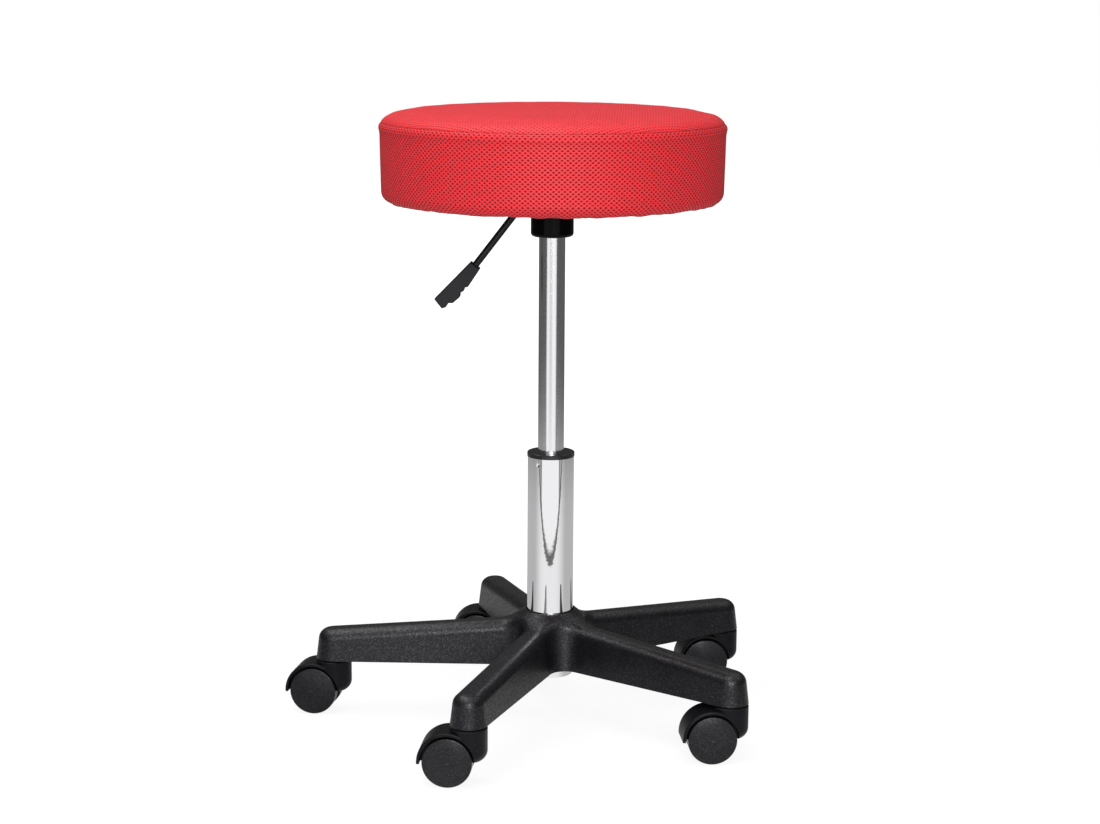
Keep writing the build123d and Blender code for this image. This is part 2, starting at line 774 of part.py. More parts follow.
with BuildPart() as seat_board:
    with BuildSketch(Plane.XY.offset(board_bottom)):
        Circle(seat_radius - cover_thickness - board_margin)
    extrude(amount=board_thickness)
    fillet(seat_board.edges().group_by(Axis.Z)[0], board_rounding)
    with BuildSketch(Plane.XY.offset(board_bottom)):
        with GridLocations(bolt_pitch, bolt_pitch, 2, 2):
            Circle(tee_barrel_radius + running_clearance)
    extrude(amount=board_thickness, mode=Mode.SUBTRACT)
    with BuildSketch(Plane.XY.offset(board_top)):
        with GridLocations(bolt_pitch, bolt_pitch, 2, 2):
            Circle(tee_flange_radius + rest_gap)
    extrude(amount=-tee_flange, mode=Mode.SUBTRACT)

with BuildPart() as seat_foam:
    with BuildSketch(Plane.XZ):
        add(padded_section(cover_thickness + rest_gap, foam_bottom))
    revolve(axis=Axis.Z)

hem_place = (hem_radius, seat_bottom + cover_thickness - hem_roll)
edge_centre = (seat_radius - seat_top_rounding, seat_top - seat_crown - seat_top_rounding)
seam_angle = asin((seat_top - seam_drop - edge_centre[1]) / seat_top_rounding)
seam_reach = seat_top_rounding + seam_stand - seam_radius

with BuildPart() as seat_cover:
    with BuildSketch(Plane.XZ):
        add(padded_section(0, seat_bottom))
        with Locations(edge_centre):
            with PolarLocations(seam_reach, 1, start_angle=degrees(seam_angle)):
                Circle(seam_radius)
        add(padded_section(cover_thickness, seat_bottom), mode=Mode.SUBTRACT)
        Rectangle(hem_radius, seat_bottom + cover_thickness, align=Align.MIN, mode=Mode.SUBTRACT)
        with Locations(hem_place):
            Circle(hem_roll)
            Circle(elastic_radius + rest_gap, mode=Mode.SUBTRACT)
    revolve(axis=Axis.Z)

with BuildPart() as hem_elastic:
    with BuildSketch(Plane.XZ):
        with Locations(hem_place):
            Circle(elastic_radius)
    revolve(axis=Axis.Z)


# Write each piece under its own name
pieces = {
    "star_base": star_base,
    "caster_stems": caster_stems,
    "stem_grip_rings": stem_grip_rings,
    "column_tube": column_tube,
    "guide_bush": guide_bush,
    "bump_stop": bump_stop,
    "bearing_race_lower": bearing_race_lower,
    "bearing_cage": bearing_cage,
    "bearing_balls": bearing_balls,
    "bearing_race_upper": bearing_race_upper,
    "retaining_washer": retaining_washer,
    "retaining_clip": retaining_clip,
    "piston_rod": piston_rod,
    "piston": piston,
    "piston_nut": piston_nut,
    "pressure_tube": pressure_tube,
    "rod_gland": rod_gland,
    "valve_body": valve_body,
    "release_pin": release_pin,
    "column_socket": column_socket,
    "lever_pivot_pin": lever_pivot_pin,
    "lever_rod": lever_rod,
    "lever_grip": lever_grip,
    "seat_plate": seat_plate,
    "plate_washers": plate_washers,
    "plate_bolts": plate_bolts,
    "tee_nuts": tee_nuts,
    "seat_board": seat_board,
    "seat_foam": seat_foam,
    "seat_cover": seat_cover,
    "hem_elastic": hem_elastic,
}
for label, piece in pieces.items():
    piece.part.label = label
    export_step(piece.part, f"parts/{label}.step")

# Each caster is turned to its heading under the end of its leg
rear_wheel = Location((-caster_trail, 0, axle_height))
front_wheel = Location((-caster_trail, 0, axle_height), (0, 0, 180))
caster_pieces = {
    "caster_body": caster_body.part,
    "caster_axle": caster_axle.part,
    "wheel_front": wheel.part.moved(front_wheel),
    "wheel_rear": wheel.part.moved(rear_wheel),
}
for number, heading in enumerate(caster_headings):
    leg_angle = radians(first_leg + number * 360 / leg_count)
    leg_end = (leg_reach * cos(leg_angle), leg_reach * sin(leg_angle), 0)
    for label, shape in caster_pieces.items():
        caster_piece = shape.moved(Location(leg_end, (0, 0, heading - first_leg)))
        caster_piece.label = f"{label}_{number + 1}"
        export_step(caster_piece, f"parts/{caster_piece.label}.step")
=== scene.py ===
from math import acos, asin, cos, exp, pi, radians, sin, tau

import bmesh
import bpy
from mathutils import Matrix, Vector, kdtree, noise


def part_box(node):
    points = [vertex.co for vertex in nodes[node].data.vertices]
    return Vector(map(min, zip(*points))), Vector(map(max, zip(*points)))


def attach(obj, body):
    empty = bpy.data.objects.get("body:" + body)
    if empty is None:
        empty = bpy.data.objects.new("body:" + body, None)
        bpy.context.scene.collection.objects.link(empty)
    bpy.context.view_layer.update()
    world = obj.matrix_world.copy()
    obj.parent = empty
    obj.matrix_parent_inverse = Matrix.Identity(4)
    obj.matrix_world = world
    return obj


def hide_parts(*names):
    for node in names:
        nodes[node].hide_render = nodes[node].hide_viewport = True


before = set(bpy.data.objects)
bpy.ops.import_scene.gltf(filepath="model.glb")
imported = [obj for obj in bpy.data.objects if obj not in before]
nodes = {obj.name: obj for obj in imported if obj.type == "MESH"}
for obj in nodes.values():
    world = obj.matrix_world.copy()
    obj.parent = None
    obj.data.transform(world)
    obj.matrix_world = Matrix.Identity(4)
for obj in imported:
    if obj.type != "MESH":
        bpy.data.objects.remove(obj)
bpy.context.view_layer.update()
scene = bpy.context.scene
casters = range(1, 6)


# Shader maths


class Link:
    """An output of a finish's nodes. Arithmetic on it adds Math nodes."""

    def __init__(self, finish, output):
        self.finish = finish
        self.output = output

    def maths(self, operation, *values):
        return self.finish.node("ShaderNodeMath", {"operation": operation}, dict(enumerate(values)))

    def __add__(self, other):
        return self.maths("ADD", self, other)

    def __radd__(self, other):
        return self.maths("ADD", other, self)

    def __sub__(self, other):
        return self.maths("SUBTRACT", self, other)

    def __rsub__(self, other):
        return self.maths("SUBTRACT", other, self)

    def __mul__(self, other):
        return self.maths("MULTIPLY", self, other)

    def __rmul__(self, other):
        return self.maths("MULTIPLY", other, self)

    def __truediv__(self, other):
        return self.maths("DIVIDE", self, other)

    def __pow__(self, other):
        return self.maths("POWER", self, other)

    def __gt__(self, other):
        return self.maths("GREATER_THAN", self, other)

    def __abs__(self):
        return self.maths("ABSOLUTE", self)

    def fraction(self):
        return self.maths("FRACT", self)

    def smallest(self, other):
        return self.maths("MINIMUM", self, other)

    def step(self, low, high):
        """0 below low and 1 above high, smooth between; falls instead where low is the larger."""
        settings = {"interpolation_type": "SMOOTHSTEP"}
        if low < high:
            return self.finish.node("ShaderNodeMapRange", settings, {"Value": self, 1: low, 2: high})
        return 1 - self.finish.node("ShaderNodeMapRange", settings, {"Value": self, 1: high, 2: low})


class Finish:
    """A node tree: a material's, or the world's where a tree is given."""

    def __init__(self, name, tree=None):
        if tree is None:
            self.material = bpy.data.materials.new(name)
            self.material.use_nodes = True
            tree = self.material.node_tree
        self.tree = tree

    def node(self, kind, settings=None, inputs=None, output=0):
        """Add a node: its settings first, then the values or links of its sockets."""
        made = self.tree.nodes.new(kind)
        for name, value in (settings or {}).items():
            setattr(made, name, value)
        self.feed(made, inputs or {})
        return Link(self, made.outputs[output])

    def feed(self, made, inputs):
        for key, value in inputs.items():
            if isinstance(value, Link):
                self.tree.links.new(value.output, made.inputs[key])
            else:
                made.inputs[key].default_value = value

    def surface(self, inputs):
        """Set the sockets of the material's main shader."""
        self.feed(self.tree.nodes["Principled BSDF"], inputs)
        return self.material

    def place(self):
        return self.node("ShaderNodeTexCoord", output="Object")

    def axes(self, place):
        """The X, Y and Z of a place."""
        first = self.node("ShaderNodeSeparateXYZ", inputs={0: place})
        return [Link(self, output) for output in first.output.node.outputs]

    def ray(self, kind):
        """1 for a ray of this kind and 0 for any other."""
        return self.node("ShaderNodeLightPath", output=f"Is {kind} Ray")

    def noise(self, place, size, detail=2.0, roughness=0.5):
        """Noise whose blotches are about size metres across."""
        inputs = {"Vector": place, "Scale": 1 / size, "Detail": detail, "Roughness": roughness}
        return self.node("ShaderNodeTexNoise", inputs=inputs)

    def mix(self, factor, first, second):
        """Colour between first, at factor 0, and second, at factor 1."""
        return self.node("ShaderNodeMix", {"data_type": "RGBA"}, {0: factor, 6: first, 7: second}, output=2)

    def mix_shader(self, factor, first, second):
        return self.node("ShaderNodeMixShader", inputs={0: factor, 1: first, 2: second})

    def tone_colour(self, tone):
        return self.node("ShaderNodeCombineColor", inputs={0: tone, 1: tone, 2: tone})

    def bump(self, height, depth, strength=1.0):
        return self.node("ShaderNodeBump", inputs={"Height": height, "Distance": depth, "Strength": strength})


def shade(colour, share=1.0):
    """A colour of three parts as a socket takes it, darker or lighter by a share."""
    return [part * share for part in colour] + [1]


def grey(level):
    return shade((level, level, level))


def flat_length(x, y):
    """Length of x and y together, for links as for numbers."""
    return (x * x + y * y) ** 0.5


# Camera, as it stood for the photograph
IMAGE_WIDTH = 1100
FOCAL_PIXELS = 2323.8
SENSOR_WIDTH = 36.0
CAMERA_DISTANCE = 2.44945
CAMERA_HEIGHT = 0.80835
CAMERA_ROUND = radians(1.901)  # turned about the column
CAMERA_YAW = radians(1.930)
CAMERA_PITCH = radians(10.878)
CAMERA_ROLL = radians(0.3475)


def make_camera():
    camera = bpy.data.objects.new("camera", bpy.data.cameras.new("camera"))
    scene.collection.objects.link(camera)
    camera.data.sensor_width = SENSOR_WIDTH
    camera.data.lens = FOCAL_PIXELS / IMAGE_WIDTH * SENSOR_WIDTH
    right = Vector((cos(CAMERA_YAW), sin(CAMERA_YAW), 0))
    level = Vector((-sin(CAMERA_YAW), cos(CAMERA_YAW), 0))
    forward = level * cos(CAMERA_PITCH) - Vector((0, 0, sin(CAMERA_PITCH)))
    upward = right.cross(forward)
    rolled_right = right * cos(CAMERA_ROLL) + upward * sin(CAMERA_ROLL)
    rolled_upward = upward * cos(CAMERA_ROLL) - right * sin(CAMERA_ROLL)
    turned = Matrix((rolled_right, rolled_upward, -forward)).transposed().to_4x4()
    stand = Vector((sin(CAMERA_ROUND), -cos(CAMERA_ROUND), 0)) * CAMERA_DISTANCE
    camera.matrix_world = Matrix.Translation(stand + Vector((0, 0, CAMERA_HEIGHT))) @ turned
    scene.camera = camera


# What polished metal mirrors: a pale sheet that ends in front of the stool, a studio that is bright in
# front and overhead, and dark aside. Pairs are where a change of tone starts and where it is complete.
STUDIO_DARK = 0.11
AXIS_GUARD = 0.001  # keeps a division by the distance from the axis safe on it
# How far forward a direction points, from 0 aside to 1 straight ahead
BRIGHT_FRONT = 0.7, 0.77
SIDE_LINE = 0.6, 0.68
SHEET_TURN = 0.1, 0.95
# How far up a direction points
BRIGHT_CEILING = 0.5, 0.8
# How far aside a direction points, and how far to the left the middle of the haze lies
HAZE_WIDTH = 0.3, 0.1
HAZE_OFFSET = 0.08
# Distances from the column
SHEET_EDGE = 0.69
SHEET_FADE = 2.1, 0.9
HAZE_START = 1.5, 1.9
# Distances past the edge of the sheet
EDGE_LINE_START = -0.01, 0.01
EDGE_LINE_END = 0.11, 0.0495
SIDE_LINE_START = 0.0, 0.1
FRONT_START = 0.04, 0.11
# Tones, and how much the lines and the haze take from them
SHEET_AHEAD, SHEET_ASIDE = 0.93, 0.51
EDGE_LINE_DEPTH = 0.82
SIDE_LINE_DEPTH = 0.6
HAZE_DEPTH = 0.36


def mirrored_floor(finish):
    """Tone of the floor in a mirror: the sheet, a dark line at its edge, then the rest of the studio."""
    x, y = finish.axes(finish.place())[:2]
    reach = flat_length(x, y) + AXIS_GUARD
    forward = (0 - y) / reach
    past = 0 - y - SHEET_EDGE
    bright = forward.step(*BRIGHT_FRONT)
    sheet = SHEET_ASIDE + (SHEET_AHEAD - SHEET_ASIDE) * forward.step(*SHEET_TURN)
    tone = STUDIO_DARK + (sheet - STUDIO_DARK) * reach.step(*SHEET_FADE)
    haze = abs(x / reach + HAZE_OFFSET).step(*HAZE_WIDTH) * reach.step(*HAZE_START)
    tone = tone + (1 - HAZE_DEPTH * haze - tone) * (past.step(*FRONT_START) * bright)
    edge_line = past.step(*EDGE_LINE_START) * past.step(*EDGE_LINE_END)
    side_line = past.step(*SIDE_LINE_START) * forward.step(*SIDE_LINE) * (1 - bright)
    return finish.tone_colour(tone * (1 - EDGE_LINE_DEPTH * edge_line) * (1 - SIDE_LINE_DEPTH * side_line))


def mirrored_studio(finish):
    x, y, z = finish.axes(finish.node("ShaderNodeTexCoord", output="Generated"))
    forward = (0 - y) / (flat_length(x, y) + AXIS_GUARD)
    tone = STUDIO_DARK + (1 - STUDIO_DARK) * forward.step(*BRIGHT_FRONT)
    return finish.tone_colour(tone + (1 - tone) * z.step(*BRIGHT_CEILING))


# Studio as the camera sees it: white floor and background, a soft light in front and one overhead
FLOOR_SIZE = 14.0
FLOOR_DROP = 0.0004  # clear of the wheels
FLOOR_WHITE = 1.26  # makes up for the share that takes shadow
FLOOR_SHADOW = 0.3  # share of the floor's look that takes shadow
FLOOR_SHADOW_REACH = 0.9, 0.35  # distances from the column where that starts and where it is full
FLOOR_GREY = 0.62  # colour of that share
FLOOR_ROUGHNESS = 0.9
AMBIENT = 0.35
LIGHT_TARGET = Vector((0, 0, 0.4))
FRONT_LIGHT = {"place": (0.3, -2.9, 1.15), "size": (1.4, 1.1), "power": 43}
TOP_LIGHT = {"place": (-0.5, -0.3, 2.4), "size": (2.6, 1.6), "power": 33}


def make_floor():
    mesh = bpy.data.meshes.new("floor")
    floor_bm = bmesh.new()
    bmesh.ops.create_grid(floor_bm, x_segments=1, y_segments=1, size=FLOOR_SIZE / 2)
    bmesh.ops.translate(floor_bm, verts=floor_bm.verts, vec=(0, 0, -FLOOR_DROP))
    floor_bm.to_mesh(mesh)
    floor_bm.free()
    floor = bpy.data.objects.new("floor", mesh)
    scene.collection.objects.link(floor)
    finish = Finish("pale_floor")
    mesh.materials.append(finish.material)
    finish.surface({"Base Color": grey(FLOOR_GREY), "Roughness": FLOOR_ROUGHNESS, "Specular IOR Level": 0.0})
    shaded = Link(finish, finish.tree.nodes["Principled BSDF"].outputs[0])
    white = finish.node("ShaderNodeEmission", inputs={"Color": grey(1.0), "Strength": FLOOR_WHITE})
    mirror = finish.node("ShaderNodeEmission", inputs={"Color": mirrored_floor(finish), "Strength": 1.0})
    x, y = finish.axes(finish.place())[:2]
    shadow = FLOOR_SHADOW * flat_length(x, y).step(*FLOOR_SHADOW_REACH)
    pale = finish.mix_shader(finish.ray("Camera") * (1 - shadow), shaded, white)
    whole = finish.mix_shader(finish.ray("Glossy"), pale, mirror)
    finish.feed(finish.tree.nodes["Material Output"], {"Surface": whole})


def make_world():
    world = bpy.data.worlds.new("studio")
    scene.world = world
    world.use_nodes = True
    finish = Finish("studio", world.node_tree)
    ambient = finish.node("ShaderNodeBackground", inputs={"Color": grey(1.0), "Strength": AMBIENT})
    white = finish.node("ShaderNodeBackground", inputs={"Color": grey(1.0), "Strength": 1.0})
    mirror = finish.node("ShaderNodeBackground", inputs={"Color": mirrored_studio(finish), "Strength": 1.0})
    pale = finish.mix_shader(finish.ray("Camera"), ambient, white)
    whole = finish.mix_shader(finish.ray("Glossy"), pale, mirror)
    finish.feed(finish.tree.nodes["World Output"], {"Surface": whole})


def make_light(name, place, size, power):
    light = bpy.data.lights.new(name, "AREA")
    light.shape = "RECTANGLE"
    light.size, light.size_y = size
    light.energy = power
    lamp = bpy.data.objects.new(name, light)
    scene.collection.objects.link(lamp)
    aim = LIGHT_TARGET - Vector(place)
    lamp.matrix_world = Matrix.Translation(place) @ aim.to_track_quat("-Z", "Y").to_matrix().to_4x4()


def make_studio():
    make_floor()
    make_world()
    make_light("front_softbox", **FRONT_LIGHT)
    make_light("top_softbox", **TOP_LIGHT)
    scene.view_settings.view_transform = "Standard"


# Black plastic: pairs are noise levels where a mark starts and where it is complete
SCUFF_SIZE = 0.03
SCUFF_EDGE = 0.3, 0.7
SCUFF_DARK, SCUFF_PALE = 0.7, 1.3  # shares of the colour
SCUFF_ROUGHNESS = 0.14
DUST_SIZE = 0.0021
DUST_EDGE = 0.75, 0.8
DUST_COVER = 0.6
DUST_GREY = 0.1
GRAIN_CREST = 0.48, 0.66
GRAIN_ROUGHNESS = 0.6
CREST_SHARE = 0.65  # of the glint; the rest covers the whole surface
COOL_WHITE = (0.93, 0.9, 1.0)


def moulded_plastic(name, colour, roughness, gloss, grain, grain_depth, glint, glint_roughness=0.34):
    """Moulded black plastic: a grain whose crests glint, soft scuffs, and a few specks of dust."""
    finish = Finish(name)
    place = finish.place()
    pits = finish.noise(place, grain, detail=1.0, roughness=GRAIN_ROUGHNESS)
    scuffs = finish.noise(place, SCUFF_SIZE, detail=4.0)
    dust = finish.noise(place, DUST_SIZE, detail=1.0).step(*DUST_EDGE)
    tint = finish.mix(scuffs.step(*SCUFF_EDGE), shade(colour, SCUFF_DARK), shade(colour, SCUFF_PALE))
    return finish.surface({
        "Base Color": finish.mix(dust * DUST_COVER, tint, grey(DUST_GREY)),
        "Roughness": roughness + SCUFF_ROUGHNESS * (scuffs - 0.5),
        "Specular IOR Level": gloss,
        "Specular Tint": shade(COOL_WHITE),
        "Coat Weight": glint * (1 - CREST_SHARE + CREST_SHARE * pits.step(*GRAIN_CREST)),
        "Coat Roughness": glint_roughness,
        "Normal": finish.bump(pits, grain_depth),
    })


# Chrome and steel
CHROME = (0.86, 0.855, 0.87)
CHROME_ROUGHNESS = 0.03
SMEAR_SIZE = 0.02
SMEAR_EDGE = 0.5, 0.8
SMEAR_ROUGHNESS = 0.05
CHROME_WAVE = 0.012
CHROME_WAVE_DEPTH = 0.00004
GRINDING_PITCH = 0.00025
GRINDING_DEPTH = 0.00002
GRINDING_ROUGHNESS = 0.1
SPECK_SIZE = 0.004
SPECK_EDGE = 0.72, 0.78
SPECK_GREY = 0.75


def polished_chrome():
    finish = Finish("polished_chrome")
    place = finish.place()
    smears = finish.noise(place, SMEAR_SIZE, detail=4.0)
    return finish.surface({
        "Base Color": shade(CHROME),
        "Metallic": 1.0,
        "Roughness": CHROME_ROUGHNESS + SMEAR_ROUGHNESS * smears.step(*SMEAR_EDGE),
        "Normal": finish.bump(finish.noise(place, CHROME_WAVE), CHROME_WAVE_DEPTH),
    })


def ground_steel(name, colour, roughness):
    """Steel with fine grinding marks round it and a few specks."""
    finish = Finish(name)
    place = finish.place()
    height = finish.axes(place)[2]
    inputs = {"W": height, "Scale": 1 / GRINDING_PITCH, "Detail": 3.0}
    marks = finish.node("ShaderNodeTexNoise", {"noise_dimensions": "1D"}, inputs)
    specks = finish.noise(place, SPECK_SIZE).step(*SPECK_EDGE)
    return finish.surface({
        "Base Color": finish.mix(specks, shade(colour), grey(SPECK_GREY)),
        "Metallic": 1.0,
        "Roughness": roughness + GRINDING_ROUGHNESS * (marks - 0.5),
        "Normal": finish.bump(marks, GRINDING_DEPTH),
    })


# Enamel
PEEL_SIZE = 0.0025
PEEL_DEPTH = 0.00004
WEAR_SIZE = 0.015
WEAR_EDGE = 0.35, 0.75
WEAR_DARK, WEAR_PALE = 0.8, 1.25  # shares of the colour
WEAR_ROUGHNESS = 0.1


def enamel(name, colour, roughness, gloss):
    """Black stove enamel with a faint orange peel."""
    finish = Finish(name)
    place = finish.place()
    wear = finish.noise(place, WEAR_SIZE, detail=4.0)
    return finish.surface({
        "Base Color": finish.mix(wear.step(*WEAR_EDGE), shade(colour, WEAR_DARK), shade(colour, WEAR_PALE)),
        "Roughness": roughness + WEAR_ROUGHNESS * (wear - 0.5),
        "Specular IOR Level": gloss,
        "Normal": finish.bump(finish.noise(place, PEEL_SIZE), PEEL_DEPTH),
    })


# Plywood
PLY_PAIR = 0.0024  # two plies, a pale and a dark one
PLY_EDGE = 0.45, 0.55
PLY_COVER = 0.25
WOOD_DARK, WOOD_PALE = (0.52, 0.36, 0.2), (0.74, 0.58, 0.38)
PLY_DARK = (0.3, 0.2, 0.11)
WOOD_GRAIN = (24, 360, 360)  # streaks to the metre along X, Y and Z
WOOD_GRAIN_DEPTH = 0.0001
WOOD_ROUGHNESS = 0.7


def plywood():
    """Birch ply: plies show as bands up the edge, grain runs along X on the faces."""
    finish = Finish("plywood")
    place = finish.place()
    height = finish.axes(place)[2]
    stretched = finish.node("ShaderNodeMapping", inputs={"Vector": place, "Scale": WOOD_GRAIN})
    grain = finish.noise(stretched, 1.0, detail=5.0)
    plies = (height / PLY_PAIR).fraction().step(*PLY_EDGE)
    wood = finish.mix(grain, shade(WOOD_DARK), shade(WOOD_PALE))
    return finish.surface({
        "Base Color": finish.mix(plies * PLY_COVER, wood, shade(PLY_DARK)),
        "Roughness": WOOD_ROUGHNESS,
        "Normal": finish.bump(grain, WOOD_GRAIN_DEPTH),
    })


def finish_hard_pieces():
    base = moulded_plastic(
        "base_plastic", colour=(0.0052, 0.0047, 0.0062), roughness=0.42, gloss=0.13,
        grain=0.0018, grain_depth=0.0003, glint=1.0)
    body = moulded_plastic(
        "caster_plastic", colour=(0.0045, 0.0042, 0.0054), roughness=0.4, gloss=0.12,
        grain=0.0012, grain_depth=0.00006, glint=0.16)
    wheel = moulded_plastic(
        "wheel_plastic", colour=(0.0075, 0.0072, 0.0088), roughness=0.38, gloss=0.13,
        grain=0.0014, grain_depth=0.00004, glint=0.8, glint_roughness=0.24)
    bush = moulded_plastic(
        "bush_plastic", colour=(0.005, 0.0048, 0.005), roughness=0.32, gloss=0.6,
        grain=0.0012, grain_depth=0.00006, glint=0.1)
    grip = moulded_plastic(
        "grip_plastic", colour=(0.014, 0.0135, 0.015), roughness=0.55, gloss=0.2,
        grain=0.001, grain_depth=0.00008, glint=0.1)
    rubber = moulded_plastic(
        "rubber", colour=(0.008, 0.008, 0.008), roughness=0.7, gloss=0.2,
        grain=0.001, grain_depth=0.00006, glint=0.0)
    chrome = polished_chrome()
    tube = ground_steel("tube_steel", colour=(0.86, 0.85, 0.87), roughness=0.16)
    zinc = ground_steel("zinc_steel", colour=(0.6, 0.6, 0.62), roughness=0.3)
    socket = enamel("gloss_enamel", colour=(0.0015, 0.0015, 0.0016), roughness=0.2, gloss=0.09)
    rod = enamel("satin_enamel", colour=(0.005, 0.005, 0.0055), roughness=0.35, gloss=0.25)
    finishes = {
        "star_base": base, "column_tube": chrome, "piston_rod": chrome, "pressure_tube": tube,
        "guide_bush": bush, "bearing_cage": bush, "lever_grip": grip, "lever_rod": rod,
        "column_socket": socket, "seat_plate": socket, "seat_board": plywood(), "bump_stop": rubber,
        "rod_gland": rubber, "piston": rubber,
    }
    for number in casters:
        finishes[f"caster_body_{number}"] = body
        finishes[f"wheel_front_{number}"] = wheel
        finishes[f"wheel_rear_{number}"] = wheel
    # The rest, such as bolts, axles and stems, is zinc plated
    for name, node in nodes.items():
        node.data.materials.clear()
        node.data.materials.append(finishes.get(name, zinc))


# Seat cover: sizes of the padded form, in metres
CROWN = 0.0026
TOP_ROUNDING = 0.0172
FOOT_ROUNDING = 0.012
COVER_THICKNESS = 0.0022
SEAM_DROP = 0.0135  # seam below the middle of the top
BAND_TAPER = 0.0012  # the band draws in towards its foot
HEM_RADIUS = 0.126
HEM_ROLL = 0.0032
HEM_TURN = radians(265)
SEAM_GROOVE = 0.0006
SEAM_GROOVE_WIDTH = 0.0009
SEAM_RIDGE = 0.0011
SEAM_RIDGE_DROP = 0.0048  # ridge of the seam allowance, below the stitches
SEAM_RIDGE_WIDTH = 0.0042
GATHER_DEPTH = 0.0022
GATHER_SIZE = 0.013
GATHER_ABOVE = 0.004  # how far above the foot's rounding the gathers start
GATHER_PAST = 0.012  # how far past it they are full
FINE_GATHERS = 2.1  # fine gathers for each large one
FINE_GATHER_SHARE = 0.5
FINE_GATHER_SHIFT = Vector((7, 3, 1))

# Seat cover: steps of its outline, in the order that it is drawn
TOP_STEPS = 30
SHOULDER_STEPS = 12
BELOW_SEAM_STEPS = 9
BAND_STEPS = 12
FOOT_STEPS = 9
UNDER_STEPS = 9
HEM_STEPS = 10
ROUND_STEPS = 240
MERGE_DISTANCE = 0.00001

# Seat cover: how the cloth fills out
START_INSET = 0.0003  # the cover starts this much smaller, and pressure fills it out
CLOTH_VOXEL = 0.007
CLOTH_FRAMES = 20
CLOTH_PRESSURE = 4.0
CLOTH_NEIGHBOURS = 5
CLOTH_NEAREST = CLOTH_VOXEL / 8  # added to each distance, so that no neighbour counts alone
STRETCH_CAP = 0.002
SEAM_HELD = 0.002  # fully held this far above and below the seam
UNDER_HELD = 0.001, 0.003  # height above the foot where the hold starts to fade and where it ends
UNDER_HELD_FADE = 0.01

cover_low, cover_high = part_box("seat_cover")
seat_radius = cover_high.x
seat_top = cover_high.z
seat_foot = cover_low.z + 2 * HEM_ROLL - COVER_THICKNESS
edge_reach = seat_radius - TOP_ROUNDING
edge_height = seat_top - CROWN - TOP_ROUNDING
crown_radius = (edge_reach ** 2 + CROWN ** 2) / (2 * CROWN)
crown_turn = asin(edge_reach / crown_radius)
seam_turn = acos((seat_top - SEAM_DROP - edge_height) / TOP_ROUNDING)
seam_along = crown_radius * crown_turn + TOP_ROUNDING * seam_turn
band_height = edge_height - seat_foot - FOOT_ROUNDING
foot_reach = seat_radius - BAND_TAPER - FOOT_ROUNDING
foot_along = seam_along + TOP_ROUNDING * (pi / 2 - seam_turn) + band_height
under_along = foot_along + FOOT_ROUNDING * pi / 2
hem_height = seat_foot + COVER_THICKNESS - HEM_ROLL
hem_meet = (HEM_ROLL ** 2 - (seat_foot - hem_height) ** 2) ** 0.5


class Outline:
    """Half section of the cover in the XZ plane, drawn on from its last point."""

    def __init__(self, start):
        self.mesh = bmesh.new()
        self.along = self.mesh.verts.layers.float.new("along")
        self.end = self.mesh.verts.new(start)

    def run(self, steps, turn=0.0, centre=(0, 0, 0), move=(0, 0, 0)):
        """Carry the end on in steps, turned about centre or moved in a straight line."""
        for step in range(steps):
            before = self.end
            made = bmesh.ops.spin(
                self.mesh, geom=[before], cent=centre, axis=(0, 1, 0), dvec=Vector(move) / steps,
                angle=turn / steps, steps=1)
            self.end = next(item for item in made["geom_last"] if isinstance(item, bmesh.types.BMVert))
            self.end[self.along] = before[self.along] + (self.end.co - before.co).length


def cover_outline():
    """From the middle of the top over the seam, down the band, under the board and round the hem."""
    line = Outline((0, 0, seat_top))
    line.run(TOP_STEPS, turn=crown_turn, centre=(0, 0, seat_top - crown_radius))
    line.run(SHOULDER_STEPS, turn=seam_turn, centre=(edge_reach, 0, edge_height))
    line.run(BELOW_SEAM_STEPS, turn=pi / 2 - seam_turn, centre=(edge_reach, 0, edge_height))
    line.run(BAND_STEPS, move=(-BAND_TAPER, 0, -band_height))
    line.run(FOOT_STEPS, turn=pi / 2, centre=(foot_reach, 0, seat_foot + FOOT_ROUNDING))
    line.run(UNDER_STEPS, move=(HEM_RADIUS + hem_meet - foot_reach, 0, 0))
    line.run(HEM_STEPS, turn=HEM_TURN, centre=(HEM_RADIUS, 0, hem_height))
    return line.mesh


def lathe_cover():
    cover_bm = cover_outline()
    section = cover_bm.verts[:] + cover_bm.edges[:]
    bmesh.ops.spin(
        cover_bm, geom=section, cent=(0, 0, 0), axis=(0, 0, 1), angle=tau, steps=ROUND_STEPS, use_merge=True)
    bmesh.ops.remove_doubles(cover_bm, verts=cover_bm.verts, dist=MERGE_DISTANCE)
    bmesh.ops.recalc_face_normals(cover_bm, faces=cover_bm.faces)
    if max(cover_bm.faces, key=lambda face: face.calc_center_median().z).normal.z < 0:
        bmesh.ops.reverse_faces(cover_bm, faces=cover_bm.faces)
    mesh = bpy.data.meshes.new("seat_cover_cloth")
    cover_bm.to_mesh(mesh)
    cover_bm.free()
    return mesh


def modified(mesh, kind, **settings):
    """A new mesh: the given one after one modifier."""
    piece = bpy.data.objects.new("modified", mesh)
    scene.collection.objects.link(piece)
    modifier = piece.modifiers.new("modifier", kind)
    for name, value in settings.items():
        setattr(modifier, name, value)
    made = bpy.data.meshes.new_from_object(piece.evaluated_get(bpy.context.evaluated_depsgraph_get()))
    bpy.data.objects.remove(piece)
    return made


def cover_points(mesh):
    """The points of the cover, each with its normal before any is moved and its path from the middle."""
    normals = [vertex.normal.copy() for vertex in mesh.vertices]
    paths = [item.value for item in mesh.attributes["along"].data]
    return list(zip(mesh.vertices, normals, paths))


def smooth(low, high, value):
    share = min(1.0, max(0.0, (value - low) / (high - low)))
    return share * share * (3 - 2 * share)


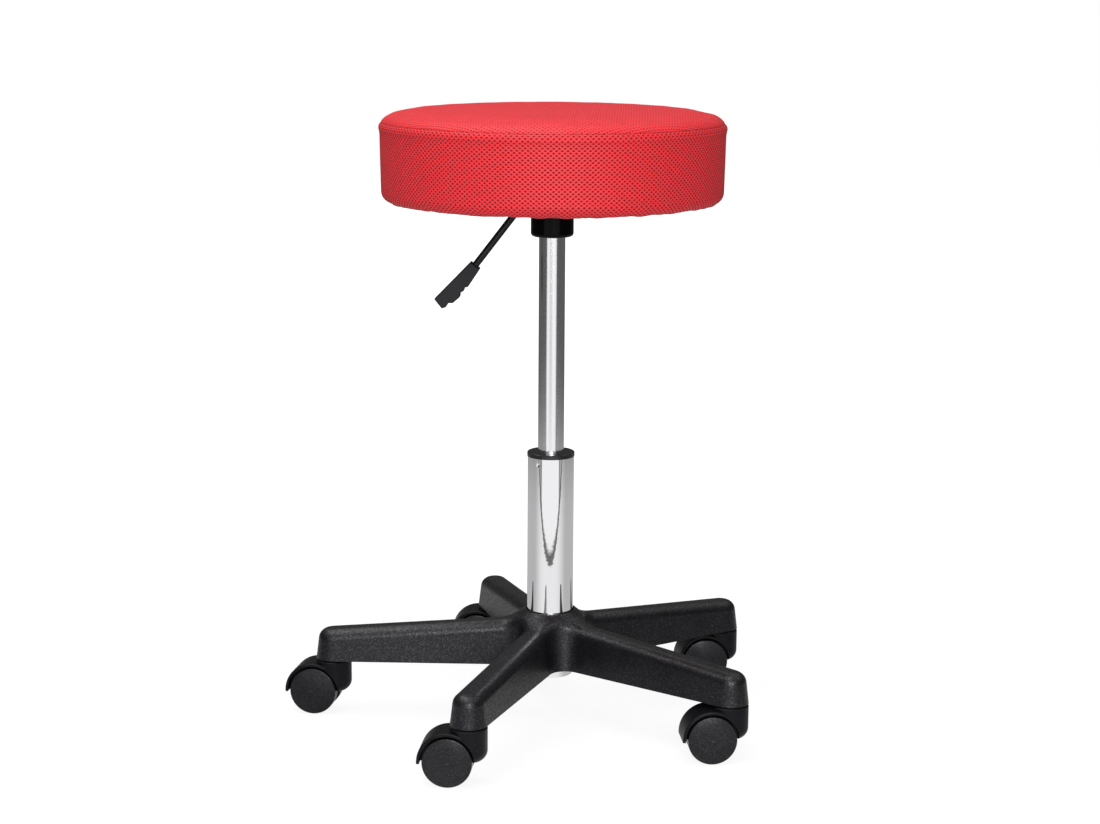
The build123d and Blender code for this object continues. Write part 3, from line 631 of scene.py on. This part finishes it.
def gather(point, along):
    """Height of the gathers that the hem draws into the underside, fading up the foot of the band."""
    share = smooth(foot_along - GATHER_ABOVE, under_along + GATHER_PAST, along)
    wander = Vector((point.x, point.y, 0)).normalized() * seat_radius / GATHER_SIZE
    fine = noise.noise(wander * FINE_GATHERS + FINE_GATHER_SHIFT)
    return share * GATHER_DEPTH * (noise.noise(wander) + FINE_GATHER_SHARE * fine)


def cloth_copy(mesh):
    """A closed copy of the cover with even faces, for the cloth to run on."""
    copy_bm = bmesh.new()
    copy_bm.from_mesh(mesh)
    bmesh.ops.holes_fill(copy_bm, edges=[edge for edge in copy_bm.edges if edge.is_boundary])
    closed = bpy.data.meshes.new("closed_cover")
    copy_bm.to_mesh(closed)
    copy_bm.free()
    even = modified(closed, "REMESH", mode="VOXEL", voxel_size=CLOTH_VOXEL)
    cloth_piece = bpy.data.objects.new("cover_cloth", even)
    scene.collection.objects.link(cloth_piece)
    return cloth_piece


def held_share(point):
    """1 where the cover is held: along its seam, and where it lies flat under the board."""
    reach = flat_length(point.x, point.y)
    seam = 1 - smooth(SEAM_HELD, CLOTH_VOXEL, abs(point.z - (seat_top - SEAM_DROP)))
    under = 1 - smooth(*UNDER_HELD, point.z - seat_foot)
    seam *= smooth(edge_reach, seat_radius, reach)
    under *= smooth(foot_reach, foot_reach - UNDER_HELD_FADE, reach)
    return max(seam, under)


def filled_moves(cloth_piece):
    """Where each point of the cloth starts, and how far pressure moves it."""
    rest = [vertex.co.copy() for vertex in cloth_piece.data.vertices]
    held = cloth_piece.vertex_groups.new(name="held")
    for index, point in enumerate(rest):
        held.add([index], held_share(point), "REPLACE")
    cloth = cloth_piece.modifiers.new("stretch", "CLOTH")
    cloth.settings.vertex_group_mass = "held"
    cloth.settings.effector_weights.gravity = 0
    cloth.settings.use_pressure = True
    cloth.settings.uniform_pressure_force = CLOTH_PRESSURE
    for step in range(1, CLOTH_FRAMES + 1):
        scene.frame_set(step)
    filled = cloth_piece.evaluated_get(bpy.context.evaluated_depsgraph_get()).data
    moves = [goal.co - point for goal, point in zip(filled.vertices, rest)]
    scene.frame_set(1)
    bpy.data.objects.remove(cloth_piece)
    return rest, moves


def stretch_cover(mesh):
    """Gather the cover under the board, then let it fill out under pressure as far as its foam allows."""
    for vertex, normal, path in cover_points(mesh):
        vertex.co -= normal * (START_INSET - gather(vertex.co, path))
    rest, moves = filled_moves(cloth_copy(mesh))
    nearby = kdtree.KDTree(len(rest))
    for index, point in enumerate(rest):
        nearby.insert(point, index)
    nearby.balance()
    for vertex in mesh.vertices:
        move = Vector()
        weights = 0
        for point, index, distance in nearby.find_n(vertex.co, CLOTH_NEIGHBOURS):
            weight = 1 / (distance + CLOTH_NEAREST)
            move += moves[index] * weight
            weights += weight
        move /= weights
        move.length = min(move.length, STRETCH_CAP)
        vertex.co += move


def sew_seam(mesh):
    """Sink the stitched line into the cover and raise the seam allowance under it."""
    for vertex, normal, path in cover_points(mesh):
        past = path - seam_along
        groove = exp(-(past / SEAM_GROOVE_WIDTH) ** 2)
        ridge = exp(-((past - SEAM_RIDGE_DROP) / SEAM_RIDGE_WIDTH) ** 2)
        vertex.co += normal * (SEAM_RIDGE * ridge - SEAM_GROOVE * groove)


# Mesh fabric: holes in staggered rows, in metres
HOLE_PITCH = 0.00558
HOLE_RISE = 0.00468
HOLE_WIDTH = 0.0024
HOLE_HEIGHT = 0.0017
HOLE_EDGE = 1.2, 0.7  # where a hole starts and where it is full, in half widths
HOLES_ROUND = 205  # columns of holes round the band
TOP_SHIFT = 0.25  # of the pitch, so that threads cross the middle of the top
TOP_HOLE_SHARE = 0.7  # the holes are shallower on the top, in bump and in painted shade, as light falls straight into them there
STRAND_EDGE = 0.3, 0.0
# A darker line along the seam: its stitches, and painted shade in the seam's groove
STITCH_SHADE_EDGE = 0.0013, 0.0004
STITCH_SHADE_COVER = 0.3
POLE_GUARD = 0.00001  # keeps a division by the distance from the axis safe on it
FIBRE_SIZE = 0.0005
FADE_SIZE = 0.05
THREAD_DARK, THREAD_BRIGHT = (0.36, 0.006, 0.012), (0.91, 0.034, 0.046)
# Painted shade inside the holes, which are only a bump
HOLE_SHADE_RED = (0.235, 0.0015, 0.0025)
STITCH_SHADE_RED = (0.2, 0.004, 0.007)
STRAND_HIGHLIGHT, FIBRE_SHADE, FADE_SHADE = 0.26, 0.3, 0.15  # how much each changes the threads' tone; the strands' share is a painted highlight
STRAND_HEIGHT, FIBRE_HEIGHT = 0.35, 0.2  # in depths of a hole
FABRIC_DEPTH = 0.0005
FABRIC_STRENGTH = 0.8
FABRIC_ROUGHNESS, HOLE_ROUGHNESS = 0.5, 0.35
FABRIC_GLOSS = 0.36


def knit(across, up):
    """How deep a place lies in a hole, from 0 on the threads to 1, and how near to the middle of a strand."""
    gaps = []
    for shift in (0.0, 0.5):
        aside = ((across + shift).fraction() - 0.5) * (HOLE_PITCH / HOLE_WIDTH * 2)
        above = ((up + shift).fraction() - 0.5) * (HOLE_RISE / HOLE_HEIGHT * 2)
        gaps.append(flat_length(aside, above))
    hole = gaps[0].smallest(gaps[1]).step(*HOLE_EDGE)
    strand = abs((across + up).fraction() - 0.5).smallest(abs((across - up).fraction() - 0.5))
    return hole, strand.step(*STRAND_EDGE)


def mesh_fabric():
    """Red spacer mesh: its holes run straight across the top panel and round the band."""
    finish = Finish("mesh_fabric")
    place = finish.place()
    x, y = finish.axes(place)[:2]
    along = finish.node("ShaderNodeAttribute", {"attribute_name": "along"}, output="Fac")
    reach = flat_length(x, y) + POLE_GUARD
    angle = along.maths("ARCTAN2", y, x)
    top_x, top_y = along * x / reach, along * y / reach
    top_hole, top_strand = knit(top_x / HOLE_PITCH + TOP_SHIFT, top_y / HOLE_RISE)
    band_hole, band_strand = knit(angle * (HOLES_ROUND / tau), (along - seam_along) / HOLE_RISE)
    on_band = along > seam_along
    hole = top_hole * TOP_HOLE_SHARE + on_band * (band_hole - top_hole * TOP_HOLE_SHARE)
    strand = top_strand + on_band * (band_strand - top_strand)
    # Darker line along the seam: stitches and painted shade in its groove
    stitch_shade = abs(along - seam_along).step(*STITCH_SHADE_EDGE)
    fibre = finish.noise(place, FIBRE_SIZE, detail=3.0)
    fade = finish.noise(place, FADE_SIZE, detail=3.0)
    # Painted highlight: threads are lighter along the raised middle of each strand and darker towards the
    # holes; fibre and fade are random tone
    bright = 1 - STRAND_HIGHLIGHT + STRAND_HIGHLIGHT * strand
    bright = bright + FIBRE_SHADE * (fibre - 0.5) + FADE_SHADE * (fade - 0.5)
    thread = finish.mix(bright, shade(THREAD_DARK), shade(THREAD_BRIGHT))
    # The holes are painted in shade
    tint = finish.mix(hole, thread, shade(HOLE_SHADE_RED))
    height = strand * STRAND_HEIGHT + fibre * FIBRE_HEIGHT - hole
    return finish.surface({
        "Base Color": finish.mix(stitch_shade * STITCH_SHADE_COVER, tint, shade(STITCH_SHADE_RED)),
        "Roughness": FABRIC_ROUGHNESS + HOLE_ROUGHNESS * hole,
        "Specular IOR Level": FABRIC_GLOSS,
        "Normal": finish.bump(height, FABRIC_DEPTH, FABRIC_STRENGTH),
    })


def make_seat_cover():
    mesh = lathe_cover()
    stretch_cover(mesh)
    mesh = modified(mesh, "SUBSURF", levels=1, render_levels=1)
    sew_seam(mesh)
    mesh.name = "mesh_cover"
    mesh.materials.clear()
    mesh.materials.append(mesh_fabric())
    mesh.shade_smooth()
    cover = bpy.data.objects.new("mesh_cover", mesh)
    scene.collection.objects.link(cover)
    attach(cover, "seat")
    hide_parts("seat_cover", "seat_foam", "hem_elastic")


make_camera()
make_studio()
finish_hard_pieces()
make_seat_cover()
